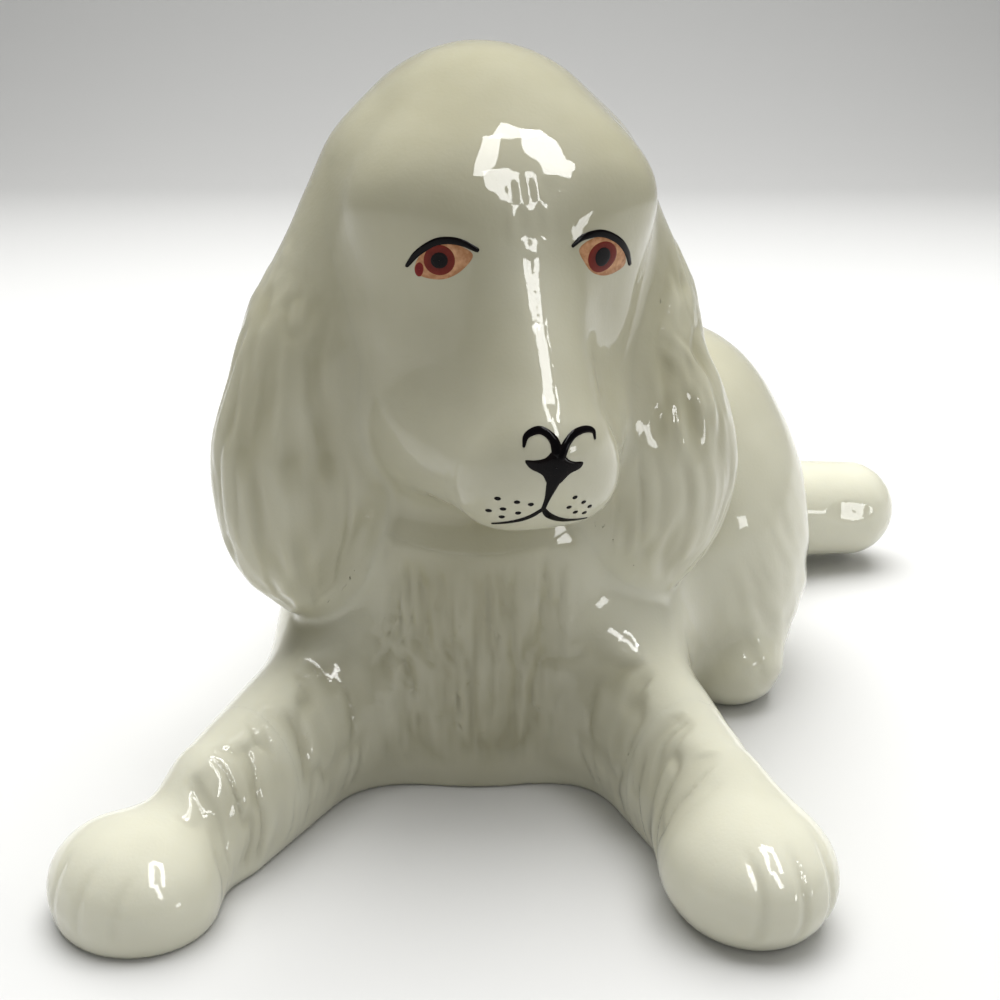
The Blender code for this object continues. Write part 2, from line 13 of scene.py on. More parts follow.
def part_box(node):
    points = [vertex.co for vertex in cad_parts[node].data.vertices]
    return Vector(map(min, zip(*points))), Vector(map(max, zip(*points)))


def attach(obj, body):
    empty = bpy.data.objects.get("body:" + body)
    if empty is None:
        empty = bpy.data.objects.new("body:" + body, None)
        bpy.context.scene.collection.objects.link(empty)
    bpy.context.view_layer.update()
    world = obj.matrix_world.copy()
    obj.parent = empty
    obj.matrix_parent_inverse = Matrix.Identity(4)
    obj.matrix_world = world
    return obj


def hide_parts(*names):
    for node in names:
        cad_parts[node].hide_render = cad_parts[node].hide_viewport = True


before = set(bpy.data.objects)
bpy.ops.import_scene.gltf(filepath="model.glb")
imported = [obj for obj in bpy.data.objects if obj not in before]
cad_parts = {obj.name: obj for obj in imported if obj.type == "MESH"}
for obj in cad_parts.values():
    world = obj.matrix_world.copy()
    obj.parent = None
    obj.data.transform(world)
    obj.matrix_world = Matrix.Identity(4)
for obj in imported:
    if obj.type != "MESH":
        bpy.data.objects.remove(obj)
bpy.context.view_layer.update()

# Clay model
# The modeller builds the whole dog up in clay, one swelling pressed onto the next, and thumbs the
# joins smooth. Every mould is taken from this one model, so the castings meet at their seams.


def point(*values):
    return np.array(values, float)


def turned(degrees):
    """Axes of a form turned to the dog's left: its own left, forward and up, as columns."""
    angle = math.radians(degrees)
    leftward = (math.cos(angle), math.sin(angle), 0.0)
    forward = (math.sin(angle), -math.cos(angle), 0.0)
    return np.column_stack([leftward, forward, (0.0, 0.0, 1.0)])


class Lump:
    """One swelling: a ball drawn out from start to end and stretched along its own axes."""

    def __init__(self, start, end=None, radii=(1.0, 1.0), stretch=(1.0, 1.0, 1.0), turn=0.0, blend=0.0):
        self.start = start
        self.end = start if end is None else end
        self.radii = radii
        self.stretch = np.array(stretch)
        self.axes = turned(turn)
        self.blend = blend

    def level(self, points):
        """Distance to the nearest point of the run, in the stretched measure, less the radius there,
        over how fast that measure grows."""
        local = (points - self.start) @ self.axes / self.stretch
        run = (self.end - self.start) @ self.axes / self.stretch
        along = np.clip(local @ run / max(run @ run, 1e-9), 0.0, 1.0)
        local = local - along[:, None] * run
        reach = np.sqrt((local**2).sum(axis=1))
        radius = self.radii[0] + (self.radii[1] - self.radii[0]) * along
        steepness = np.sqrt(((local / self.stretch) ** 2).sum(axis=1)) / np.maximum(reach, 1e-9)
        return (reach - radius) / np.maximum(steepness, 1e-9)


def blended(near, far, softness):
    """Smaller of two levels, with the crease between them filled over the softness."""
    share = np.clip(0.5 + 0.5 * (far - near) / softness, 0.0, 1.0)
    return far + (near - far) * share - softness * share * (1.0 - share)


def joined(lumps, points):
    total = lumps[0].level(points)
    for lump in lumps[1:]:
        total = blended(total, lump.level(points), lump.blend)
    return total


SOFT, PRESSED, THUMBED, CREASED = 14.0, 10.0, 8.0, 3.0
breast = point(-5.0, 14.0, 18.0)
trunk = breast + point(7.0, 16.0, 18.0)
rump = trunk + point(10.0, 32.0, -6.0)
left_haunch = trunk + point(34.0, 17.0, 2.0)
right_haunch = trunk + point(-12.0, 28.0, -6.0)
left_thigh = left_haunch + point(11.0, -7.0, -12.0)
left_hind_foot = left_thigh + point(3.0, -14.0, -16.0)
right_hind_foot = right_haunch + point(-18.0, -22.0, -21.0)
neck = breast + point(0.0, 0.0, 32.0)
nape = neck + point(0.0, 0.0, 38.0)
body_clay = [
    Lump(breast, stretch=(41.0, 34.0, 58.0)),
    Lump(trunk, rump, (38.0, 36.0), blend=SOFT),
    Lump(left_haunch, stretch=(32.5, 38.0, 41.5), blend=PRESSED),
    Lump(right_haunch, stretch=(30.0, 36.0, 38.0), blend=PRESSED),
    Lump(left_thigh, stretch=(24.0, 30.0, 34.0), blend=THUMBED),
    Lump(neck, nape, (30.0, 25.0), blend=PRESSED),
    Lump(left_hind_foot, stretch=(14.0, 18.0, 13.0), turn=15.0, blend=CREASED),
    Lump(right_hind_foot, stretch=(13.0, 22.0, 11.0), turn=-10.0, blend=CREASED),
]

LEG_RADII = (14.3, 10.5)
elbows = {"right": breast + point(-24.0, -10.0, -6.0), "left": breast + point(27.0, -10.0, -6.0)}
wrists = {
    "right": elbows["right"] + point(-21.0, -45.0, -3.0),
    "left": elbows["left"] + point(15.5, -45.0, -3.0),
}
paws = {
    "right": wrists["right"] + point(-11.5, -15.0, -4.0),
    "left": wrists["left"] + point(4.2, -14.0, -1.0),
}
paw_sizes = {"right": (15.5, 13.5, 12.0), "left": (14.8, 16.0, 12.0)}
paw_turns = {"right": -30.0, "left": 24.0}
for side, elbow in elbows.items():
    body_clay += [
        Lump(elbow, wrists[side], LEG_RADII, (1.0, 1.0, 1.4), blend=SOFT),
        Lump(paws[side], stretch=paw_sizes[side], turn=paw_turns[side], blend=THUMBED),
    ]

TAIL_RADII = (14.0, 13.0)
tail_root = rump + point(28.0, 24.0, -10.0)
tail_tip = tail_root + point(56.0, 14.0, -5.0)
body_clay += [Lump(tail_root, tail_tip, TAIL_RADII, blend=THUMBED)]

# The head is modelled on its own axes: left, forward and up from the middle of the skull
skull = nape + point(1.2, -8.0, 14.0)
HEAD_TURN = 15.0
head_axes = turned(HEAD_TURN)


def on_head(*offset):
    return skull + head_axes @ point(*offset)


body_clay += [
    Lump(skull, stretch=(31.0, 33.0, 37.0), turn=HEAD_TURN, blend=CREASED),
    Lump(on_head(0, 23.5, 2), on_head(0, 40.5, -25), (10.5, 10.0), blend=THUMBED),
    Lump(on_head(0, 3, -17), on_head(0, 38, -30), (28.0, 11.0), (1.0, 1.0, 0.85), HEAD_TURN, THUMBED),
]
for sign in (1.0, -1.0):
    body_clay += [
        Lump(on_head(16 * sign, 7, -28), on_head(6.5 * sign, 37, -33), (13.0, 7.5), blend=THUMBED),
        Lump(on_head(13 * sign, 20, 12), stretch=(11.0, 9.0, 7.0), turn=HEAD_TURN, blend=SOFT),
    ]
ear_lobes = {
    "left": Lump(on_head(28.5, 13, -42), stretch=(20.5, 14.5, 27.0), turn=HEAD_TURN, blend=SOFT),
    "right": Lump(on_head(-35, 5, -41), stretch=(18.5, 13.5, 28.0), turn=HEAD_TURN, blend=SOFT),
}
ear_clay = {}
for side, sign in (("left", 1.0), ("right", -1.0)):
    ear_root = Lump(on_head(17.5 * sign, 2, 12), on_head(30 * sign, 1, -12), (12.5, 13.5))
    ear_clay[side] = [ear_root, ear_lobes[side]]


def rising(values, low, high):
    """From 0 at low to 1 at high, smoothly."""
    share = np.clip((values - low) / (high - low), 0.0, 1.0)
    return share * share * (3.0 - 2.0 * share)


def skin_levels(points):
    """Levels of the whole dog and of each ear against the rest of it. The ears are wiped softly into
    the head, and a little less softly into the neck and shoulders."""
    rest = joined(body_clay, points)
    left = joined(ear_clay["left"], points)
    right = joined(ear_clay["right"], points)
    crease = 2.8 + 2.6 * rising(points[:, 2], 66.0, 104.0)
    whole = blended(blended(rest, left, crease), right, crease)
    return whole, left - rest, right - rest


def skin(points):
    return skin_levels(points)[0]


def slope(points, reach=0.06):
    """How the skin's level grows along x, y and z: its values at the corners of a small tetrahedron,
    each times its corner, added up over four times the reach."""
    corners = np.array([(1, 1, 1), (1, -1, -1), (-1, 1, -1), (-1, -1, 1)], float)
    return sum(corner * skin(points + reach * corner)[:, None] for corner in corners) / (4.0 * reach)


def outward(points):
    """Unit direction in which the skin's level grows."""
    rise = slope(points)
    return rise / np.linalg.norm(rise, axis=1)[:, None]


def laid_on_skin(points):
    """The points moved onto the skin, each by its level over the level's slope, three times."""
    for _ in range(3):
        rise = slope(points)
        points = points - rise * (skin(points) / np.maximum((rise**2).sum(axis=1), 0.2))[:, None]
    return points


# Seams
# The moulds part the dog at the neck, below the elbows, at the tail and round the ears. The
# castings are stuck together with slip there, and the joins wiped smooth before glazing.
NECK_SEAM = breast + point(0.0, 0.0, 50.0)
NECK_SEAM_TILT = math.tan(math.radians(30.0))
LEG_SEAM, TAIL_SEAM = 0.58, 0.46


def outside_head(points):
    """Level of the block that the head's mould takes: above a plane tilted up to the back, within
    the half width to each side and the depth to the back."""
    half_width, depth, tilt_cosine = 34.5, 39.0, 0.87
    above = points[:, 2] - NECK_SEAM[2] - NECK_SEAM_TILT * (points[:, 1] - NECK_SEAM[1])
    beside = np.abs(points[:, 0] - NECK_SEAM[0]) - half_width
    behind = points[:, 1] - NECK_SEAM[1] - depth
    return np.maximum(np.maximum(-tilt_cosine * above, beside), behind)


def outside_limb(points, root, tip, seam, radius):
    """Level of the block round a limb, from its seam, a share of the way from root to tip, to beyond
    its end."""
    run = (tip - root) * point(1.0, 1.0, 0.0)
    run /= np.linalg.norm(run)
    local = points - root - seam * (tip - root)
    across = np.abs(local @ np.cross(run, (0.0, 0.0, 1.0))) - 2.0 * radius
    return np.maximum(np.maximum(-(local @ run), across), np.abs(local[:, 2]) - 3.0 * radius)


def outside_foreleg(points, side):
    return outside_limb(points, elbows[side], paws[side], LEG_SEAM, LEG_RADII[0])


def outside_tail(points):
    return outside_limb(points, tail_root, tail_tip, TAIL_SEAM, TAIL_RADII[0])


# Modelled hair
# Before the moulds are taken, the hair is combed into the clay with a toothed tool: long locks
# parted by shallow valleys. The toes are cut in, and a sponge and a thumb leave small flats. The
# glaze later fills and softens them all.


def cloudy(points, seed):
    """Smooth chance from -1 to 1: a value at each corner of a unit lattice, faded between corners."""
    cell = np.floor(points).astype(np.int64)
    part = points - cell
    fade = part * part * part * (part * (part * 6.0 - 15.0) + 10.0)
    total = np.zeros(len(points))
    for corner in np.ndindex(2, 2, 2):
        at = cell + np.array(corner)
        mixed = at[:, 0] * 374761393 + at[:, 1] * 668265263 + at[:, 2] * 2147483647 + seed * 974634777
        mixed = (mixed ^ (mixed >> 13)) * 1274126177 & 0xFFFFFFFF
        mixed = (mixed ^ (mixed >> 16)) & 0xFFFF
        share = np.prod(np.where(np.array(corner) == 1, fade, 1.0 - fade), axis=1)
        total += share * (mixed / 32767.5 - 1.0)
    return total


def combed(points, width, length, seed):
    """Locks that run along the third axis: 0 on a lock and -1 in a valley, where a chance value
    measured in widths and lengths passes zero."""
    chance = cloudy(points / point(width, width, length), seed)
    return -np.exp(-((chance / 0.24) ** 2))


def folded(points, width, length, seed):
    """Soft folds that run along the third axis, from 0 on the swells to -1 between them."""
    return (cloudy(points / point(width, width, length), seed) - 1.0) / 2.0


def ear_hair(points, normals, ears):
    """Long wavy locks down the ears, fading out towards the crown and the crease, and fainter on the
    back."""
    wave = 2.2 * cloudy(points / 14.0, 5)
    swayed = points + wave[:, None] * point(1.0, 0.6, 0.0)
    depth = 1.0 * folded(swayed, 4.0, 20.0, 11) + 0.8 * folded(swayed, 2.3, 12.0, 12)
    depth += 0.3 * combed(swayed, 4.6, 20.0, 13)
    on_ear = rising(-np.minimum(ears[0], ears[1]), 1.0, 7.0)
    facing = 0.4 + 0.6 * rising(-normals[:, 1], -0.1, 0.6)
    return depth * on_ear * facing * rising(-points[:, 2], -116.0, -86.0)


def chest_hair(points, normals, ears):
    """Tapering locks from the neck to the ground, drawn together towards the bottom, and wiped away
    at the neck's seam and round the ears."""
    height = points[:, 2]
    gathered = points.copy()
    gathered[:, 0] = (points[:, 0] - breast[0]) / (0.7 + 0.3 * height / 55.0)
    gathered[:, 0] += 1.0 * cloudy(points / 11.0, 21)
    depth = 0.6 * combed(gathered, 2.5, 20.0, 22) + 0.3 * combed(gathered, 1.5, 11.0, 23)
    depth += 0.7 * folded(gathered, 2.6, 20.0, 24)
    middle = rising(-np.abs(gathered[:, 0] + 1.0), -27.0, -14.0)
    wiped = rising(outside_head(points), 0.5, 6.0) * rising(np.minimum(ears[0], ears[1]), 2.0, 9.0)
    return depth * middle * wiped * rising(-normals[:, 1], 0.35, 0.75) * rising(height, 3.0, 10.0)


def leg_feathers(points, normals, side):
    """Feathers on a foreleg's inner face: furrows round the leg, with ragged upper ends."""
    axis = paws[side] - elbows[side]
    length = np.linalg.norm(axis[:2])
    axis = point(axis[0], axis[1], 0.0) / length
    inward = np.cross(axis, (0.0, 0.0, 1.0)) * (-1.0 if side == "right" else 1.0)
    local = (points - elbows[side]) @ np.column_stack([axis, inward, (0.0, 0.0, 1.0)])
    along = local[:, 0]
    slanted = np.column_stack(
        [along + 0.2 * local[:, 2], local[:, 1] / 6.0, local[:, 2] - 0.5 * local[:, 1]]
    )
    slanted[:, 0] += 0.6 * cloudy(points / 5.0, 30)
    depth = 0.5 * combed(slanted, 2.8, 14.0, 31) + 0.9 * folded(slanted, 2.6, 12.0, 32)
    ragged = 0.35 * cloudy(np.column_stack([along / 3.0, along * 0.0, along * 0.0]), 33)
    inner = rising((normals @ inward) - 0.55 * normals[:, 2] + ragged, -0.25, 0.15)
    span = rising(along, 10.0, 22.0) * rising(-along, -0.97 * length, -0.8 * length)
    near_leg = rising(-np.abs(local[:, 1]), -22.0, -17.0) * rising(-local[:, 2], -24.0, -16.0)
    return depth * inner * span * near_leg * rising(points[:, 2], 1.5, 5.0)


def toes(points, side):
    """Grooves between the toes: narrow valleys that run over the front of the paw."""
    local = (points - paws[side]) @ turned(paw_turns[side])
    front = rising(local[:, 1], 4.0, 10.0) * rising(points[:, 2], 2.0, 6.0)
    front *= rising(-local[:, 2], -11.5, -6.0)
    across = local[:, 0] - 0.06 * local[:, 2]
    groove = sum(np.exp(-(((across - middle) / 0.85) ** 2)) for middle in (-6.6, 0.2, 6.8))
    return (-0.45 if side == "left" else -0.25) * groove * front


def haunch_hair(points, normals):
    """Faint hair combed down and forward over the left thigh and hind foot."""
    local = (points - left_thigh) @ turned(-10.0)
    slanted = np.column_stack(
        [local[:, 0] + 0.5 * local[:, 2], local[:, 1] * 0.4, local[:, 2] - 0.5 * local[:, 0]]
    )
    depth = 0.7 * folded(slanted, 3.2, 15.0, 41) + 0.3 * folded(slanted, 1.8, 9.0, 42)
    away = (points - left_hind_foot - point(6.0, 4.0, 10.0)) / point(26.0, 26.0, 30.0)
    return depth * rising(-np.linalg.norm(away, axis=1), -1.15, -0.7) * rising(points[:, 2], 2.0, 6.0)


def rubbed_bridge(points):
    """A flat rubbed down the bridge of the muzzle with a sponge: it takes off what the round ridge
    rises across its width, a little more on the dog's left."""
    ridge_radius = 11.5
    local = (points - skull) @ head_axes
    upper = rising(local[:, 2], -10.0, -6.0)
    half_width = 1.3 - 0.2 * upper
    across = (local[:, 0] + 0.4 + 0.8 * upper) / half_width
    taken = np.maximum(1.0 - across**2, 0.0) * half_width**2 / (2.0 * ridge_radius)
    tipped = 0.09 * upper * half_width * across * np.exp(-(across**2) / 1.7)
    span = rising(local[:, 2], -19.5, -17.0) * rising(-local[:, 2], -5.5, -3.0) * (local[:, 1] > 25.0)
    return -(taken + tipped) * span


def brow_hair(points):
    """Fine short strokes combed up between the eyes, where the forehead rises from the muzzle."""
    local = (points - skull) @ head_axes
    middle = np.exp(-(((local[:, 0] + 1.0) / 7.0) ** 2))
    stop = rising(local[:, 2], 4.5, 7.5) * rising(-local[:, 2], -17.5, -14.5)
    return 0.3 * folded(local, 1.5, 8.0, 61) * middle * stop * (local[:, 1] > 20.0)


def thumbed_tail(points):
    """An oval flat that the thumb left on the front of the tail: it takes off what the round tail
    rises across the thumb."""
    axis = (tail_tip - tail_root) / np.linalg.norm(tail_tip - tail_root)
    facing = point(0.27, -0.93, 0.25)
    local = points - tail_root - 0.9 * (tail_tip - tail_root)
    local = local @ np.column_stack([axis, np.cross(axis, facing), facing])
    half_length, half_width = 7.5, 3.2
    chord = half_width**2 * (1.0 - (local[:, 0] / half_length) ** 2)
    taken = np.maximum(chord - local[:, 1] ** 2, 0.0) / (2.0 * TAIL_RADII[1])
    return -taken * (local[:, 2] > 0.0)


def relief(points, normals, ears):
    """How far the glazed surface lies off the clay model's skin: all the hair, flats and toes, and the
    swell of the glaze. The feathers are wiped away at the foreleg's seam."""
    depth = ear_hair(points, normals, ears) + chest_hair(points, normals, ears)
    depth += haunch_hair(points, normals) + brow_hair(points)
    depth += rubbed_bridge(points) + thumbed_tail(points)
    for side in ("right", "left"):
        wiped = 0.15 + 0.85 * rising(np.abs(outside_foreleg(points, side)), 0.6, 3.5)
        depth += leg_feathers(points, normals, side) * wiped + toes(points, side)
    swell = 0.10 * (cloudy(points / 9.0, 51) - 1.0) + 0.03 * (cloudy(points / 3.4, 52) - 1.0)
    return depth + swell * rising(points[:, 2], 0.5, 3.0)


# Torso casting
# The largest section, poured hollow in a mould of several parts: breast, trunk, haunches and hind
# feet, flat underneath where the dog stands.
SEAM_LAP = 2.2  # lattice steps that a casting laps over a seam
SEAM_SINK = 0.3  # how deep its lap dives there
ORIGIN = point(16.8, 20.6, 0.0)  # where the frame's origin lies in the making


def sampled(level, low, high, step):
    """The level on a cubic lattice. Blocks far from the surface only get their middle's value."""
    block = 8
    counts = np.ceil((high - low) / step / block).astype(int) + 1
    axes = [low[i] + step * block * (np.arange(counts[i]) + 0.5) - step / 2 for i in range(3)]
    middles = np.stack(np.meshgrid(*axes, indexing="ij"), axis=-1)
    coarse = level(middles.reshape(-1, 3)).reshape(counts)
    values = np.repeat(np.repeat(np.repeat(coarse, block, 0), block, 1), block, 2)
    near = np.argwhere(np.abs(coarse) < 1.25 * step * block)
    offsets = np.stack(np.meshgrid(*[np.arange(block)] * 3, indexing="ij"), axis=-1).reshape(-1, 3)
    for batch in np.array_split(near, max(1, len(near) // 400)):
        at = (batch[:, None, :] * block + offsets).reshape(-1, 3)
        values[tuple(at.T)] = level(low + step * at)
    return values


def skinned(values, low, step):
    """Closed skin round the lattice's negative values: a point in each cell that the surface
    crosses, at the mean of its crossings, and a face round each lattice edge that it crosses."""
    inside = values < 0.0
    counts = np.array(values.shape)
    filled = sum(
        inside[i : counts[0] - 1 + i, j : counts[1] - 1 + j, k : counts[2] - 1 + k].astype(np.int8)
        for i, j, k in np.ndindex(2, 2, 2)
    )
    crossed = (filled > 0) & (filled < 8)
    number = np.full(crossed.shape, -1)
    number[crossed] = np.arange(crossed.sum())
    cells = np.argwhere(crossed)
    total = np.zeros((len(cells), 3))
    crossings = np.zeros(len(cells))
    faces = []
    for axis in range(3):
        unit = np.eye(3, dtype=int)[axis]
        second, third = np.eye(3, dtype=int)[(axis + 1) % 3], np.eye(3, dtype=int)[(axis + 2) % 3]
        for corner in (0 * unit, second, third, second + third):
            start = values[tuple((cells + corner).T)]
            end = values[tuple((cells + corner + unit).T)]
            cut = (start < 0.0) != (end < 0.0)
            share = np.where(cut, start / np.where(cut, start - end, 1.0), 0.0)
            total += np.where(cut[:, None], cells + corner + share[:, None] * unit, 0.0)
            crossings += cut
        ranges = [slice(1, count - 1) for count in counts]
        ranges[axis] = slice(0, counts[axis] - 1)
        ahead = list(ranges)
        ahead[axis] = slice(1, counts[axis])
        cut = inside[tuple(ranges)] != inside[tuple(ahead)]
        edge = np.argwhere(cut) + 1 - unit
        leaving = inside[tuple(edge.T)]
        face = np.stack(
            [number[tuple((edge - shift).T)] for shift in (second + third, third, 0 * unit, second)], axis=1
        )
        face[~leaving] = face[~leaving][:, ::-1]
        faces.append(face)
    return low + step * total / crossings[:, None], np.concatenate(faces)


def glaze_and_shade_depth(points, normals, ears):
    """How far the colour goes towards the thick glaze's, where 0 is thin and 1 or more is thick: painted
    shade in hollows, where the glaze also pools, and painted shade on the breast under the chin. It
    grows towards the head, and less on the ears and along the muzzle's bridge."""
    # Painted shade in hollows: darker where the skin lies close 6 mm out along the normal, partly glaze
    # pooled there too.
    pooling_and_shade_in_hollows = rising(6.0 - skin(points + 6.0 * normals), 0.5, 7.0)
    upper = rising(points[:, 2], 25.0, 100.0)
    on_ears = rising(-ears, 0.0, 10.0)
    face = (points - skull) @ head_axes
    on_bridge = np.exp(-((face[:, 0] / 7.0) ** 2)) * rising(face[:, 1], 28.0, 36.0)
    # Painted shade on the breast under the chin.
    shade_under_chin = np.exp(-(((points[:, 0] - breast[0]) / 22.0) ** 2))
    shade_under_chin *= rising(-points[:, 2], -68.0, -50.0) * rising(-points[:, 1], 2.0, 14.0)
    depth = pooling_and_shade_in_hollows * (0.75 - 0.4 * upper) + 0.6 * shade_under_chin
    # Darker towards the head, less so on the ears and along the muzzle's bridge.
    return depth + upper * (0.8 - 0.45 * on_ears - 0.35 * on_bridge)


def made(name, node, points, faces, shares):
    """The mesh in metres as a piece in the node's place. The shares are kept on its points, for the
    glaze or the enamel to read."""
    mesh = bpy.data.meshes.new(name)
    mesh.from_pydata(((points - ORIGIN) / 1000.0).tolist(), [], faces.tolist())
    for label, values in shares.items():
        mesh.attributes.new(label, "FLOAT", "POINT").data.foreach_set("value", values.astype(np.float32))
    mesh.shade_smooth()
    piece = bpy.data.objects.new(name, mesh)
    bpy.context.scene.collection.objects.link(piece)
    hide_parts(node)
    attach(piece, "root")
    return piece


def cast(name, node, cuts, step, margin=3.0):
    """Casting as a closed body: what of the dog lies within the cuts. It laps a little over each
    seam and dives under its neighbour's skin there. The skin then gets its relief."""
    lap = SEAM_LAP * step

    def beyond_seams(points, left, right):
        return np.max([edge(points, left, right) for edge in cuts], axis=0)

    def level(points):
        whole, left, right = skin_levels(points)
        return np.maximum(np.maximum(whole, beyond_seams(points, left, right) - lap), -points[:, 2])

    low, high = (np.array(corner) * 1000.0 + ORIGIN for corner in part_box(node))
    low, high = low - margin, high + margin
    points, faces = skinned(sampled(level, low, high, step), low, step)
    whole, left, right = skin_levels(points)
    cut = beyond_seams(points, left, right) - lap
    outer = (whole > cut - 0.3 * step) & (whole > -points[:, 2] - 0.3 * step)
    points[outer] = laid_on_skin(points[outer])
    normals = outward(points)
    _, left, right = skin_levels(points)
    depth = relief(points, normals, (left, right))
    depth -= SEAM_SINK * rising(beyond_seams(points, left, right), 0.0, lap)
    # The colour's share of thick glaze, with painted shade in hollows and under the chin. The combed share,
    # the relief's depth, darkens the valleys as painted shade too.
    pooled_and_shaded = glaze_and_shade_depth(points, normals, np.minimum(left, right))
    points = np.where(outer[:, None], points + depth[:, None] * normals, points)
    points[:, 2] = np.maximum(points[:, 2], 0.0)
    return made(name, node, points, faces, {"pooled_and_shaded": pooled_and_shaded, "combed": -depth})


def off_head(points, left, right):
    return -outside_head(points)


def off_ears(points, left, right):
    return -0.5 * np.minimum(left, right)


def off_limbs(points, left, right):
    legs = np.minimum(outside_foreleg(points, "left"), outside_foreleg(points, "right"))
    return -np.minimum(legs, outside_tail(points))


torso = cast("glazed_torso", "torso_casting", [off_head, off_ears, off_limbs], step=0.85)


def glaze_group():
    """Glaze over white clay: thin and pale on the swells, thick and olive where it pools, and the same
    olive as painted shade in hollows, in the combed valleys and under the chin.
    """
    group = bpy.data.node_groups.new("glaze_with_painted_shade", "ShaderNodeTree")
    for label, way, kind in (
        ("Thin", "INPUT", "NodeSocketColor"),
        ("Thick_and_shade", "INPUT", "NodeSocketColor"),
        ("Mottle", "INPUT", "NodeSocketFloat"),
        ("Color", "OUTPUT", "NodeSocketColor"),
        ("Height", "OUTPUT", "NodeSocketFloat"),
        ("Roughness", "OUTPUT", "NodeSocketFloat"),
    ):
        group.interface.new_socket(label, in_out=way, socket_type=kind)
    wire = group.links.new
    take = group.nodes.new("NodeGroupInput")
    give = group.nodes.new("NodeGroupOutput")
    place = group.nodes.new("ShaderNodeTexCoord").outputs["Object"]

    def attribute(name):
        node = group.nodes.new("ShaderNodeAttribute")
        node.attribute_name = name
        return node.outputs["Fac"]

    def arithmetic(operation, first, second):
        node = group.nodes.new("ShaderNodeMath")
        node.operation = operation
        for socket, value in zip(node.inputs, (first, second)):
            if isinstance(value, float):
                socket.default_value = value
            else:
                wire(value, socket)
        return node.outputs[0]

    def noise(scale, detail):
        node = group.nodes.new("ShaderNodeTexNoise")
        node.inputs["Scale"].default_value = scale
        node.inputs["Detail"].default_value = detail
        wire(place, node.inputs["Vector"])
        return node.outputs["Fac"]

    drift = arithmetic("MULTIPLY", arithmetic("SUBTRACT", noise(55.0, 3.0), 0.5), take.outputs["Mottle"])
    # Painted shade: the valleys of the combed relief darken towards the thick colour, on top of the pooled
    # and shaded share.
    pool_and_shade = arithmetic("ADD", attribute("pooled_and_shaded"), arithmetic("MULTIPLY", attribute("combed"), 0.4))
    mixed = group.nodes.new("ShaderNodeMix")
    mixed.data_type = "RGBA"
    mixed.clamp_factor = True
    wire(arithmetic("ADD", pool_and_shade, drift), mixed.inputs["Factor"])
    wire(take.outputs["Thin"], mixed.inputs["A"])
    wire(take.outputs["Thick_and_shade"], mixed.inputs["B"])
    wire(mixed.outputs["Result"], give.inputs["Color"])
    peel = arithmetic("MULTIPLY", noise(420.0, 2.0), 0.6)
    wire(arithmetic("ADD", peel, noise(1500.0, 1.0)), give.inputs["Height"])
    wire(arithmetic("ADD", arithmetic("MULTIPLY", noise(900.0, 2.0), 0.1), 0.4), give.inputs["Roughness"])
    return group


glaze_with_painted_shade = glaze_group()


def glazed(name, mottle=0.35):
    """Porcelain under a clear gloss glaze: a pooled colour with painted shade in it, a little light let
    into the clay, and a hard coat with the faint swell of the glaze."""
    finish = bpy.data.materials.new(name)
    finish.use_nodes = True
    nodes, wire = finish.node_tree.nodes, finish.node_tree.links.new
    shader = nodes["Principled BSDF"]
    glaze = nodes.new("ShaderNodeGroup")
    glaze.node_tree = glaze_with_painted_shade
    glaze.inputs["Thin"].default_value = (0.66, 0.65, 0.53, 1.0)
    # The thick colour is also the painted shade in hollows, combed valleys and under the chin.
    glaze.inputs["Thick_and_shade"].default_value = (0.39, 0.37, 0.255, 1.0)
    glaze.inputs["Mottle"].default_value = mottle
    bump = nodes.new("ShaderNodeBump")
    bump.inputs["Strength"].default_value = 0.06
    bump.inputs["Distance"].default_value = 0.0004
    wire(glaze.outputs["Color"], shader.inputs["Base Color"])
    wire(glaze.outputs["Roughness"], shader.inputs["Roughness"])
    wire(glaze.outputs["Height"], bump.inputs["Height"])
    wire(bump.outputs["Normal"], shader.inputs["Normal"])
    shader.inputs["IOR"].default_value = 1.22
    shader.inputs["Coat Weight"].default_value = 1.0
    shader.inputs["Coat Roughness"].default_value = 0.02
    shader.inputs["Coat IOR"].default_value = 1.45
    shader.inputs["Subsurface Weight"].default_value = 0.25
    shader.inputs["Subsurface Radius"].default_value = (1.0, 0.9, 0.7)
    shader.inputs["Subsurface Scale"].default_value = 0.002
    return finish


torso.data.materials.append(glazed("torso_glaze"))

# Head casting
# Neck, skull and muzzle come from a mould of their own, and are luted to the shoulders with the
# head turned to the dog's left.


def within_head(points, left, right):
    return outside_head(points)


head = cast("glazed_head", "head_casting", [within_head, off_ears], step=0.58)
head.data.materials.append(glazed("head_glaze"))

# Ears
# Each ear is cast as a long hollow lobe, pressed to the skull and the shoulder while the clay is
# soft, and its edge wiped into the head.


def within_left_ear(points, left, right):
    return 0.5 * left


def within_right_ear(points, left, right):
    return 0.5 * right


for side, within in (("left", within_left_ear), ("right", within_right_ear)):
    ear = cast(f"glazed_ear_{side}", f"ear_{side}", [within], step=0.6, margin=7.0)
    ear.data.materials.append(glazed(f"ear_{side}_glaze"))

# Forelegs
# The stretched forelegs are cast apart and luted on below the elbow. The paws' toes are cut in and
# the feathers combed in on the inner side.


def within_left_foreleg(points, left, right):
    return outside_foreleg(points, "left")


def within_right_foreleg(points, left, right):
    return outside_foreleg(points, "right")


for side, within in (("left", within_left_foreleg), ("right", within_right_foreleg)):
    leg = cast(f"glazed_foreleg_{side}", f"foreleg_{side}", [within], step=0.6)
    leg.data.materials.append(glazed(f"foreleg_{side}_glaze"))

# Tail
# A smooth docked tail. Its end is cast as a plain hollow finger and luted to the root on the rump,
# where the join is wiped smooth.


def within_tail(points, left, right):
    return outside_tail(points)


tail = cast("glazed_tail", "tail_casting", [within_tail], step=0.8)
tail.data.materials.append(glazed("tail_glaze", 0.15))

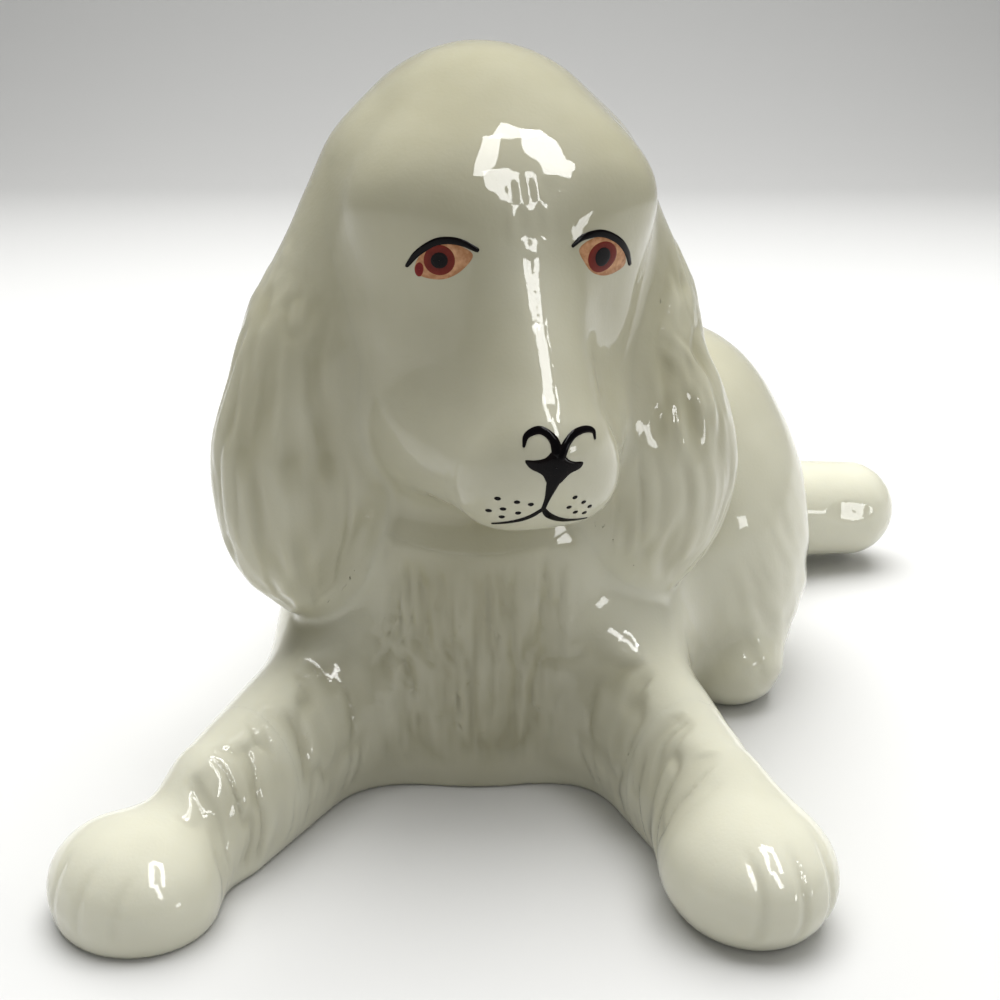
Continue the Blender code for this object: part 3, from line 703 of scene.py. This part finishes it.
# Eyes
# Painted with a fine brush in enamel on the fired glaze, and fired again. Places are to the dog's
# left and up from the middle of the skull, as the face is seen from in front.
FILM = 0.07  # how far the thinnest enamel stands off the glaze


def on_face(places, lift):
    """Points of the finished face straight behind the places, raised by the lift."""
    reach = np.full(len(places), 66.0)
    for _ in range(60):
        points = skull + np.column_stack([places[:, 0], reach, places[:, 1]]) @ head_axes.T
        reach = reach - skin(points)
    normals = outward(points)
    _, left, right = skin_levels(points)
    raised = relief(points, normals, (left, right)) + lift
    return points + raised[:, None] * normals


def smooth_line(marks, closed=False):
    """Catmull-Rom curve through the marks: each span a cubic in its share, from four marks."""
    steps = 8
    marks = np.array(marks, float)
    if closed:
        padded = np.vstack([marks[-1], marks, marks[0], marks[1]])
    else:
        padded = np.vstack([2 * marks[0] - marks[1], marks, 2 * marks[-1] - marks[-2]])
    before, start, end, after = padded[:-3, None], padded[1:-2, None], padded[2:-1, None], padded[3:, None]
    share = (np.arange(steps) / steps)[None, :, None]
    spans = 0.5 * (
        2 * start
        + (end - before) * share
        + (2 * before - 5 * start + 4 * end - after) * share**2
        + (3 * start - before - 3 * end + after) * share**3
    )
    line = spans.reshape(-1, marks.shape[1])
    return line if closed else np.vstack([line, marks[-1]])


def film(name, node, grids, finish, height):
    """Enamel film: each grid of face places is laid on the face, sunk at its rim and raised inside.
    The grids hold the share of the way to the rim, from 0 to 1, and the places."""
    points, faces, rims = [], [], []
    for rim, places, closed in grids:
        rows, columns = rim.shape
        lift = height * np.sqrt(np.clip(1.0 - rim**4, 0.0, 1.0)) - 0.05 * (rim > 0.99)
        first = sum(len(group) for group in points)
        points.append(on_face(places.reshape(-1, 2), lift.ravel()))
        rims.append(rim.ravel())
        index = first + np.arange(rows * columns).reshape(rows, columns)
        ahead = np.roll(index, -1, axis=1) if closed else index[:, 1:]
        index = index if closed else index[:, :-1]
        faces.append(np.stack([index[:-1], index[1:], ahead[1:], ahead[:-1]], axis=-1).reshape(-1, 4))
    piece = made(name, node, np.vstack(points), np.vstack(faces), {"rim": np.concatenate(rims)})
    piece.data.validate()
    piece.data.materials.append(finish)


def patch(outline, centre, rings=10):
    """Grid from the centre to the closed outline: each ring is the outline drawn in by its share."""
    share = np.linspace(0.02, 1.0, rings)[:, None]
    places = point(*centre) + share[..., None] * (outline[None] - point(*centre))
    return np.repeat(share, len(outline), axis=1), places[:, ::-1], True


def oval(centre, size, sides=32):
    angles = np.arange(sides) * 2 * math.pi / sides
    return np.column_stack([centre[0] + size[0] * np.cos(angles), centre[1] + size[1] * np.sin(angles)])


def stroke(marks, widths):
    """Grid along a brush stroke: its middle line, and to each side up to half the width there. Two
    more rows round off each end."""
    line = smooth_line(np.column_stack([marks, widths]))
    run = np.gradient(line[:, :2], axis=0)
    run /= np.linalg.norm(run, axis=1)[:, None]
    side = np.column_stack([-run[:, 1], run[:, 0]])
    first, last = line[0, 2], line[-1, 2]
    start = line[0, :2] - point(0.5, 0.35)[:, None] * first * run[0]
    end = line[-1, :2] + point(0.35, 0.5)[:, None] * last * run[-1]
    middle = np.vstack([start, line[:, :2], end])
    half = np.concatenate([[0.02, 0.36 * first], line[:, 2] / 2, [0.36 * last, 0.02]])
    side = np.vstack([side[0], side[0], side, side[-1], side[-1]])
    share = np.linspace(-1.0, 1.0, 7)
    places = middle[:, None] + (half[:, None] * share)[..., None] * side[:, None]
    rim = np.repeat(np.abs(share)[None], len(middle), axis=0)
    rim[0] = rim[-1] = 1.0
    return rim, places, False


def enamel(name, colour, rim_colour, blotch):
    """Fired enamel: thick colour inside, another towards the rim where the brush left less, and the
    two blotched into each other."""
    finish = bpy.data.materials.new(name)
    finish.use_nodes = True
    nodes, wire = finish.node_tree.nodes, finish.node_tree.links.new
    shader = nodes["Principled BSDF"]
    rim = nodes.new("ShaderNodeAttribute")
    rim.attribute_name = "rim"
    noise = nodes.new("ShaderNodeTexNoise")
    noise.inputs["Scale"].default_value = 900.0
    noise.inputs["Detail"].default_value = 3.0
    wire(nodes.new("ShaderNodeTexCoord").outputs["Object"], noise.inputs["Vector"])
    spread = nodes.new("ShaderNodeMapRange")
    spread.inputs["From Min"].default_value = 0.3
    spread.inputs["From Max"].default_value = 0.7
    spread.inputs["To Min"].default_value = -blotch
    spread.inputs["To Max"].default_value = blotch
    wire(noise.outputs["Fac"], spread.inputs["Value"])
    total = nodes.new("ShaderNodeMath")
    wire(rim.outputs["Fac"], total.inputs[0])
    wire(spread.outputs["Result"], total.inputs[1])
    ramp = nodes.new("ShaderNodeValToRGB")
    ramp.color_ramp.elements[0].position = 0.25
    ramp.color_ramp.elements[0].color = (*colour, 1.0)
    ramp.color_ramp.elements[1].position = 1.0
    ramp.color_ramp.elements[1].color = (*rim_colour, 1.0)
    wire(total.outputs[0], ramp.inputs["Fac"])
    wire(ramp.outputs["Color"], shader.inputs["Base Color"])
    shader.inputs["Roughness"].default_value = 0.12
    shader.inputs["Specular IOR Level"].default_value = 0.06
    shader.inputs["Coat Weight"].default_value = 0.1
    shader.inputs["Coat Roughness"].default_value = 0.04
    return finish


peach = enamel("peach_enamel", (0.58, 0.33, 0.18), (0.36, 0.17, 0.08), blotch=0.4)
wine = enamel("wine_enamel", (0.16, 0.012, 0.012), (0.20, 0.02, 0.015), blotch=0.2)
russet = enamel("russet_enamel", (0.075, 0.010, 0.007), (0.17, 0.022, 0.014), blotch=0.15)
black = enamel("black_enamel", (0.002, 0.0015, 0.002), (0.006, 0.004, 0.004), blotch=0.2)

eyes = {
    "right": {
        "white": [
            (-18.6, 1.5), (-17.4, 0.2), (-15.1, -0.2), (-13.1, 0.3), (-11.0, 1.9), (-9.4, 4.4),
            (-11.4, 5.9), (-14.4, 6.3), (-17.6, 4.3),
        ],
        "middle": (-14.2, 3.0),
        "iris": (-14.7, 3.3),
        "iris_size": (2.6, 2.8),
        "pupil_size": (1.5, 1.6),
        "lid": [(-19.4, 2.1), (-18.0, 4.3), (-15.7, 6.1), (-13.7, 6.6), (-11.4, 6.3), (-9.1, 5.2)],
    },
    "left": {
        "white": [
            (8.1, 4.9), (9.1, 2.4), (11.2, 0.2), (14.5, -0.9), (17.7, -0.5), (19.3, 0.8),
            (17.9, 3.8), (15.6, 5.6), (11.6, 6.5),
        ],
        "middle": (13.6, 2.8),
        "iris": (13.2, 2.8),
        "iris_size": (3.4, 2.9),
        "pupil_size": (1.9, 1.9),
        "lid": [(7.2, 5.3), (9.2, 6.5), (12.7, 6.8), (16.2, 5.3), (18.8, 2.8), (20.1, 0.5)],
    },
}
for side, eye in eyes.items():
    white = [patch(smooth_line(eye["white"], closed=True), eye["middle"])]
    film(f"painted_white_{side}", f"eye_white_{side}", white, peach, FILM)
    iris = [patch(oval(eye["iris"], eye["iris_size"]), eye["iris"])]
    film(f"painted_iris_{side}", f"iris_{side}", iris, russet, 1.7 * FILM)
    pupil = [patch(oval(eye["iris"], eye["pupil_size"]), eye["iris"])]
    film(f"painted_pupil_{side}", f"pupil_{side}", pupil, black, 2.4 * FILM)
    lid = [stroke(eye["lid"], (0.7, 1.2, 1.4, 1.4, 1.25, 0.9))]
    film(f"painted_lid_{side}", f"lid_line_{side}", lid, black, 2.6 * FILM)
tear = [patch(oval((-17.6, 1.6), (0.75, 1.4)), (-17.6, 1.6), rings=5)]
film("painted_eye_corner", "eye_corner_right", tear, wine, 2.0 * FILM)

# Nose and mouth
# The nose is one black patch with a curl over each nostril and a line down to the lip. The lips and
# the whisker spots are single touches of the brush.
nose_outline = [
    (-5.6, -25.7), (-4.1, -25.6), (-2.4, -25.2), (-1.0, -24.0), (0.4, -24.0), (1.4, -25.5), (2.6, -26.2),
    (4.4, -26.6), (3.9, -27.6), (1.8, -28.4), (0.0, -30.1), (-1.8, -30.0), (-2.9, -28.2), (-4.9, -27.0),
]
curl_widths = (0.5, 0.9, 1.2, 1.4, 1.5, 1.8, 2.2)
right_curl = [
    (-5.5, -23.5), (-5.1, -22.1), (-4.1, -21.3), (-2.8, -21.0), (-1.6, -21.6), (-0.7, -22.8), (-0.3, -24.6),
]
left_curl = [
    (6.8, -23.4), (6.6, -22.2), (4.9, -21.6), (2.9, -21.9), (1.6, -22.9), (0.7, -24.2), (0.0, -25.6),
]
philtrum = [(-0.7, -28.6), (-1.2, -30.6), (-1.6, -32.8), (-1.9, -34.8)]
nose = [
    patch(smooth_line(nose_outline, closed=True), (-0.6, -27.0)),
    stroke(right_curl, curl_widths),
    stroke(left_curl, curl_widths),
    stroke(philtrum, (3.0, 2.0, 1.1, 0.9)),
]
film("painted_nose", "nose_mark", nose, black, 2.0 * FILM)
lips = {
    "right": stroke([(-1.9, -34.8), (-3.8, -36.5), (-6.0, -37.6), (-9.0, -38.6)], (0.9, 1.0, 0.8, 0.5)),
    "left": stroke([(-1.9, -34.8), (-0.5, -36.5), (2.4, -38.0), (7.2, -38.9)], (0.9, 1.3, 1.0, 0.4)),
}
for side, lip in lips.items():
    film(f"painted_lip_{side}", f"lip_line_{side}", [lip], black, 1.6 * FILM)
whiskers = {
    "right": [
        (-9.2, -32.9), (-10.2, -35.6), (-8.2, -34.9), (-6.3, -33.3), (-4.1, -33.7), (-5.8, -35.6),
        (-8.1, -36.7),
    ],
    "left": [(3.3, -33.0), (2.6, -35.0), (5.2, -34.4), (6.7, -35.7), (4.1, -36.4), (6.0, -37.0)],
}
for side, places in whiskers.items():
    for number, place in enumerate(places, start=1):
        spot = f"spot_{side}_{number}"
        dot = [patch(oval(place, (0.55, 0.42), sides=16), place, rings=5)]
        film(f"painted_{spot}", f"whisker_{spot}", dot, black, FILM)

# Table, light and camera
# The dog lies on a pale sweep of paper under a broad soft light. A window high in front to its left
# and a small low one under that glint in the glaze.
bend = np.linspace(0.1, 1.57, 10)
depths = np.concatenate([[-3.0, -0.6, 0.0, 0.6], 0.9 + 0.5 * np.sin(bend), [1.4]])
heights = np.concatenate([[0.0] * 4, 0.5 * (1.0 - np.cos(bend)), [3.0]]) - 0.0001
sides = np.linspace(-4.0, 4.0, 5)
across, row = np.meshgrid(sides, np.arange(len(depths)))
sweep_points = np.column_stack([across.ravel(), depths[row.ravel()], heights[row.ravel()]])
index = np.arange(len(sweep_points)).reshape(row.shape)
sweep_faces = np.stack([index[:-1, :-1], index[:-1, 1:], index[1:, 1:], index[1:, :-1]], axis=-1)
sweep_mesh = bpy.data.meshes.new("sweep")
sweep_mesh.from_pydata(sweep_points.tolist(), [], sweep_faces.reshape(-1, 4).tolist())
sweep_mesh.shade_smooth()
sweep = bpy.data.objects.new("sweep", sweep_mesh)
bpy.context.scene.collection.objects.link(sweep)
paper = bpy.data.materials.new("paper")
paper.use_nodes = True
paper.node_tree.nodes["Principled BSDF"].inputs["Base Color"].default_value = (0.62, 0.62, 0.61, 1.0)
paper.node_tree.nodes["Principled BSDF"].inputs["Roughness"].default_value = 0.9
sweep_mesh.materials.append(paper)

world = bpy.data.worlds.new("room")
bpy.context.scene.world = world
world.use_nodes = True
world.node_tree.nodes["Background"].inputs["Color"].default_value = (1.0, 1.0, 0.98, 1.0)
world.node_tree.nodes["Background"].inputs["Strength"].default_value = 0.2


def lamp(name, azimuth, elevation, width, height, roll, brightness, glint):
    """Rectangular light 0.9 m from the dog and facing it. The azimuth runs from straight in front to
    the dog's left, and the roll is about the line of sight. The light shows either as a glint in the
    glaze or as soft light, not as both."""
    light = bpy.data.lights.new(name, "AREA")
    light.shape = "RECTANGLE"
    light.size, light.size_y = width, height
    light.energy = brightness * math.pi * width * height
    holder = bpy.data.objects.new(name, light)
    turn, lift = math.radians(azimuth), math.radians(elevation)
    away = Vector((math.sin(turn) * math.cos(lift), -math.cos(turn) * math.cos(lift), math.sin(lift)))
    holder.location = Vector((-0.02, -0.02, 0.09)) + 0.9 * away
    facing = away.to_track_quat("Z", "Y").to_matrix() @ Matrix.Rotation(math.radians(roll), 3, "Z")
    holder.rotation_euler = facing.to_euler()
    holder.visible_diffuse = not glint
    holder.visible_glossy = glint
    bpy.context.scene.collection.objects.link(holder)


lamp("ceiling", 180.0, 72.0, 1.2, 1.0, 0.0, 5.6, glint=False)
lamp("room_front", -15.0, 12.0, 1.0, 0.8, 0.0, 0.4, glint=False)
lamp("side_wall", 95.0, 25.0, 0.7, 0.6, 0.0, 1.3, glint=False)
lamp("window_left_pane", 33.0, 64.0, 0.10, 0.60, -22.0, 14.0, glint=True)
lamp("window_right_pane", 57.0, 58.0, 0.08, 0.55, -34.0, 16.0, glint=True)
lamp("window_head", 76.0, 73.0, 0.10, 0.20, 0.0, 14.0, glint=True)
lamp("window_post", 31.5, 37.0, 0.10, 0.43, 0.0, 14.0, glint=True)
lamp("far_window", 54.0, 2.5, 0.15, 0.10, 0.0, 10.0, glint=True)

camera = bpy.data.cameras.new("camera")
camera.lens = 46.8
camera.sensor_width = 36.0
camera_holder = bpy.data.objects.new("camera", camera)
camera_holder.location = (-0.0168, -0.2606, 0.141)
camera_holder.rotation_euler = (math.radians(70.0), 0.0, 0.0)
bpy.context.scene.collection.objects.link(camera_holder)
bpy.context.scene.camera = camera_holder
bpy.context.scene.view_settings.view_transform = "Standard"
